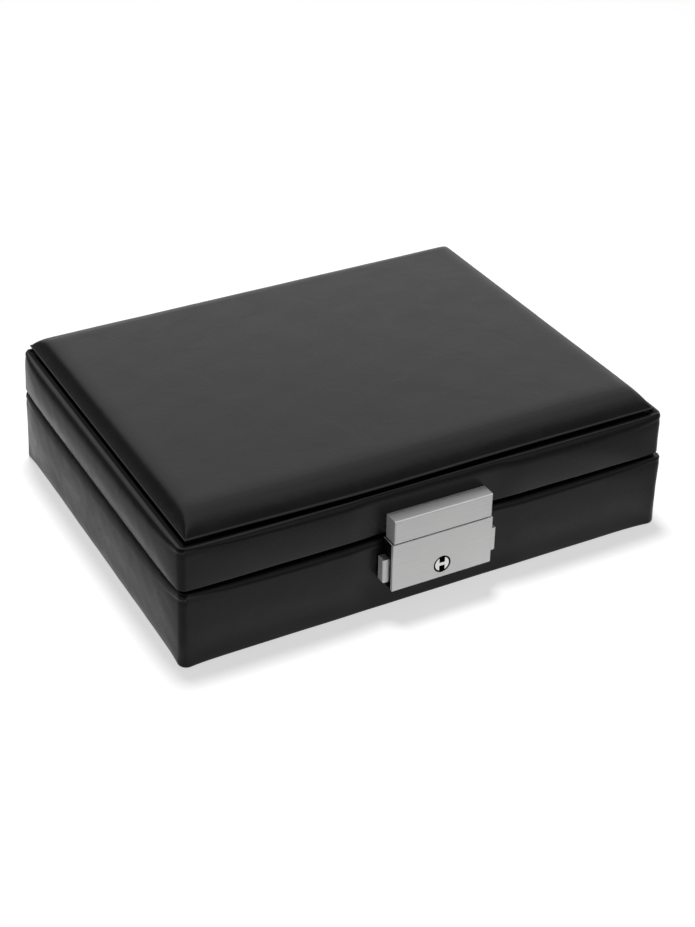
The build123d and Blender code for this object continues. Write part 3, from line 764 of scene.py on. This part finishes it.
def panelGrids(xs, ys, faceHeight, backHeight, rimRows):
    # A soft panel: its face z = faceHeight(x, y), its back z = backHeight, and between the two
    # borders the rows of the rim, each scaled to lie further out by its reach, at its height.
    # The last row is the border of the back.
    x, y = np.meshgrid(xs, ys, indexing="ij")
    face = np.stack([x, y, faceHeight(x, y)], -1)
    border = np.concatenate([face[:, 0], face[-1, 1:], face[-2::-1, -1], face[0, -2:0:-1]])
    half = np.array([xs[-1], ys[-1]])
    rows = [border]
    for reach, height in rimRows:
        row = border.copy()
        row[:, :2] *= 1 + reach / half
        row[:, 2] = height
        rows.append(row)
    scale = 1 + rimRows[-1][0] / half
    back = np.stack([x * scale[0], y * scale[1], np.full(x.shape, backHeight)], -1)
    return [(face, (False, False)), (back[::-1], (False, False)),
            (np.stack(rows, 1), (True, False))]


padPanelLook = {
    "run": (12.0, 6.2),  # how far in from the front and the sides the crown is full
    "backRun": (10.5, 6.8),  # the same at the back, from its left end to its right end
    "power": 2.0,  # the higher, the steeper the crown's edges
    "flange": 0.35,  # the flat seam round the crown
    "narrower": 0.4,
    "deeper": 0.8,  # the back edge lies this much further back
    "bow": (0.2, 1.1, -30.0, 42.0),  # the front edge: at its ends, the bow, its place and width
    "footInset": 2.5,  # the panel stands on a foot, this far in from its edge
    "footDepth": 0.7,  # and down to this far below the lid's top
    "lip": 0.8,  # the height of the edge below the crown
    "underRound": 0.4,
    "underSteps": 6,
    "dome": 0.5,
    "mitre": 4,  # the higher, the sharper
    "step": 2.6,
    "mottle": 0.05,
    "mottleWave": 31,
}


def padPanel(look):
    low, high = boxOf("pad_cover")
    bottom, top = low[2], high[2]
    foot = boxOf("lid_cover")[1][2] - look["footDepth"]
    half = high[:2] + np.array([-look["narrower"], look["deeper"] / 2])
    (frontRun, sideRun), n = look["run"], look["mitre"]
    rise = top - bottom - look["lip"]

    def crown(x, y):
        # lip + rise * (1 - (1 - e)^power) + a slight dome, where e is how far in from the flange,
        # mitred at the corners: ((dx/run)^-n + (dy/run)^-n)^(-1/n)
        dx, dy = (reach - look["flange"] - np.abs(place)
                  for place, reach in ((x, half[0]), (y, half[1])))
        backRun = np.interp(x, [-half[0], half[0]], look["backRun"])
        ex = np.clip(dx / sideRun, 1e-6, 1)
        ey = np.clip(dy / np.where(y < 0, frontRun, backRun), 1e-6, 1)
        edge = np.minimum((ex ** -n + ey ** -n) ** (-1 / n), 1)
        full = 1 - (1 - edge) ** look["power"]
        dome = np.cos(x / half[0] * math.pi / 2) * np.cos(y / half[1] * math.pi / 2)
        swell = look["mottle"] * drift(x, y, 0, look["mottleWave"]) * full
        return bottom + look["lip"] + rise * full + look["dome"] * (dome - 0.5) * full + swell

    xs = planStations(half[0], [], look["step"], sideRun)
    ys = planStations(half[1], [], look["step"], frontRun)
    r = look["underRound"]
    turn = np.linspace(0, math.pi / 2, look["underSteps"])
    rim = [(r * math.cos(a) - r, bottom + r - r * math.sin(a)) for a in turn]
    rim += [(-look["footInset"], bottom), (-look["footInset"], foot)]
    grids = panelGrids(xs, ys, crown, foot, rim)
    least, most, place, width = look["bow"]
    for grid, _ in grids:
        ahead = np.clip(-grid[..., 1] / half[1], 0, 1) ** 2
        bow = least + most * np.exp(-((grid[..., 0] - place) / width) ** 2)
        grid[..., 1] += look["deeper"] / 2 - ahead * (bow + look["deeper"] / 2)
    mesh = meshFrom("padPanel", grids)
    panel = addPiece("padPanel", mesh, "lid", "black_leather",
                     ["pad_cover", "pad_foam", "overlay_board"])


padPanel(padPanelLook)

liningLooks = {
    "floorPad": {"node": "base_floor_pad", "body": "base", "rise": 0.55, "run": 7.0},
    "drawerPad": {"node": "drawer_pad", "body": "drawer", "rise": 0.5, "run": 7.0},
    "lidLiningPad": {"node": "lid_lining_pad", "body": "lid", "rise": -1.6, "run": 16.0},
}
liningStep = 3.0


def liningPad(name, seamsX, seamsY):
    # The face swells between its edges and seams: rise * (1 - (1 - d/run)^2) each way, where d
    # is the distance to the nearest edge or seam
    look = liningLooks[name]
    low, high = boxOf(look["node"])
    middle, half = (low + high)[:2] / 2, (high - low)[:2] / 2
    fromBack = look["rise"] > 0
    faceZ, backZ = (high[2], low[2]) if fromBack else (low[2], high[2])

    def swell(x, y):
        full = 1.0
        for place, seams, reach in ((x, seamsX, half[0]), (y, seamsY, half[1])):
            lines = np.array([-reach, reach, *seams])
            nearest = np.abs(place[..., None] - lines).min(-1)
            full = full * (1 - (1 - np.clip(nearest / look["run"], 0, 1)) ** 2)
        return faceZ + look["rise"] * full

    xs = planStations(half[0], seamsX, liningStep, look["run"])
    ys = planStations(half[1], seamsY, liningStep, look["run"])
    grids = panelGrids(xs, ys, swell, backZ, [(0, backZ)])
    for grid, _ in grids:
        grid[..., :2] += middle
    mesh = meshFrom(name, grids)
    pad = addPiece(name, mesh, look["body"], "grey_velour", [look["node"]])


def dividerPlaces(kind, count, axis):
    boxes = [boxOf(f"{kind}_{i + 1}") for i in range(count)]
    return [(low[axis] + high[axis]) / 2 for low, high in boxes]


liningPad("floorPad", dividerPlaces("cross_divider", 4, 0), dividerPlaces("long_divider", 3, 1))
liningPad("drawerPad", dividerPlaces("drawer_divider", 4, 0), [])
liningPad("lidLiningPad", [], [])
print("pads made")

# The stage: a pale floor, a soft lamp, and an even surround that is dim low at the front and left
stageLook = {
    "floorSize": 6.0,
    "floorDrop": 0.02 * mm,
    "floorColour": 0.45,
    "floorGlow": 0.62,
    "glossyShare": 0.5,  # how much of its glow the floor shows in reflections, near the case
    "glossyFade": (0.04, 0.15),  # full up to, and gone beyond, this far from the case's sides
    "sideScale": 7.0,  # beside the case it fades this much sooner than before it
    "closeShare": 0.35,  # added right in front of the case
    "closeFade": (0.004, 0.026),
    "surround": 1.02,
    "soft": 0.16,  # how bright the surround is as a light; in reflections it has its full strength
    "lampSpot": (0.03, 0.18, 1.3),
    "lampSize": 0.26,
    "lampPower": 15.8,
}
# Each side is level times as bright past its edge, the part of a direction that lies along way
dimSides = {
    "front": {"way": (0.0, -0.958, -0.287), "edge": (-0.06, 0.14), "level": 0.17},
    "left": {"way": (-0.83, 0.0, -0.557), "edge": (-0.06, 0.24), "level": 0.14},
}
# A weak light ahead, low down, that only the steep shoulders show
frontLight = {"way": (0.403, -0.793, 0.459), "edge": (0.935, 0.985), "level": 0.42}


def seenDirectly(wiring, glossyShare):
    # 1 for camera and transmission rays, the share for glossy rays, and 0 for all others
    path = wiring.node("ShaderNodeLightPath", {}).outputs
    return wiring.together("MAXIMUM", [
        path["Is Camera Ray"],
        wiring.times(path["Is Glossy Ray"], glossyShare),
        path["Is Transmission Ray"],
    ])


def glossyFade(wiring, look):
    # The share falls from its full value to 0 with the distance from the case's sides
    sizes = wiring.vectors("ABSOLUTE", wiring.coords.outputs["Object"])
    beyond = wiring.split(wiring.vectors("SUBTRACT", sizes, (*cadBounds[1][:2], 0)))
    away = wiring.maths("MAXIMUM", wiring.times(beyond["X"], look["sideScale"]), beyond["Y"])
    wide = wiring.softStep(away, look["glossyFade"], look["glossyShare"], 0)
    close = wiring.softStep(away, look["closeFade"], look["closeShare"], 0)
    return wiring.maths("ADD", wide, close)


def makeFloor(look):
    reach = look["floorSize"] / 2
    mesh = bpy.data.meshes.new("floor")
    corners = [(-reach, -reach), (reach, -reach), (reach, reach), (-reach, reach)]
    mesh.from_pydata([(x, y, -look["floorDrop"]) for x, y in corners], [], [(0, 1, 2, 3)])
    floor = bpy.data.objects.new("floor", mesh)
    bpy.context.scene.collection.objects.link(floor)
    finish = Finish("pale_floor")
    mesh.materials.append(finish.close({
        "Base Color": (*[look["floorColour"]] * 3, 1),
        "Roughness": 1.0,
        "Specular IOR Level": 0.0,
        "Emission Color": (1, 1, 1, 1),
        "Emission Strength": finish.times(seenDirectly(finish, glossyFade(finish, look)),
                                          look["floorGlow"]),
    }))


def makeSurround(look, sides, ahead):
    # Strength = surround times, for each dim side, a step from 1 to its level along its way,
    # and then the light ahead added, a step from 0 to its level along its way
    world = bpy.data.worlds.new("surround")
    bpy.context.scene.world = world
    world.use_nodes = True
    wiring = Wiring(world.node_tree)

    def stepAlong(side, start):
        value = wiring.vectors("DOT_PRODUCT", wiring.coords.outputs["Generated"], side["way"])
        return wiring.softStep(value, side["edge"], start, side["level"])

    strength = look["surround"]
    for side in sides.values():
        strength = wiring.times(stepAlong(side, 1), strength)
    strength = wiring.maths("ADD", strength, stepAlong(ahead, 0))
    inputs = {0: seenDirectly(wiring, 1), 2: look["soft"], 3: strength}
    background = wiring.tree.nodes["Background"].inputs
    wiring.feed(background["Strength"], wiring.node("ShaderNodeMix", inputs).outputs[0])
    wiring.feed(background["Color"], (1, 1, 1, 1))


def makeLamp(look):
    data = bpy.data.lights.new("softLamp", "AREA")
    data.shape = "DISK"
    data.size = look["lampSize"]
    data.energy = look["lampPower"]
    lamp = bpy.data.objects.new("softLamp", data)
    bpy.context.scene.collection.objects.link(lamp)
    away = np.array(look["lampSpot"]) / np.linalg.norm(look["lampSpot"])
    side = np.cross([0, 0, 1], away)
    side /= np.linalg.norm(side)
    matrix = np.eye(4)
    matrix[:3] = np.column_stack([side, np.cross(away, side), away, look["lampSpot"]])
    lamp.matrix_world = Matrix(matrix)
    lamp.visible_glossy = False


makeFloor(stageLook)
makeSurround(stageLook, dimSides, frontLight)
makeLamp(stageLook)
bpy.context.scene.view_settings.view_transform = "Standard"
print("stage made")
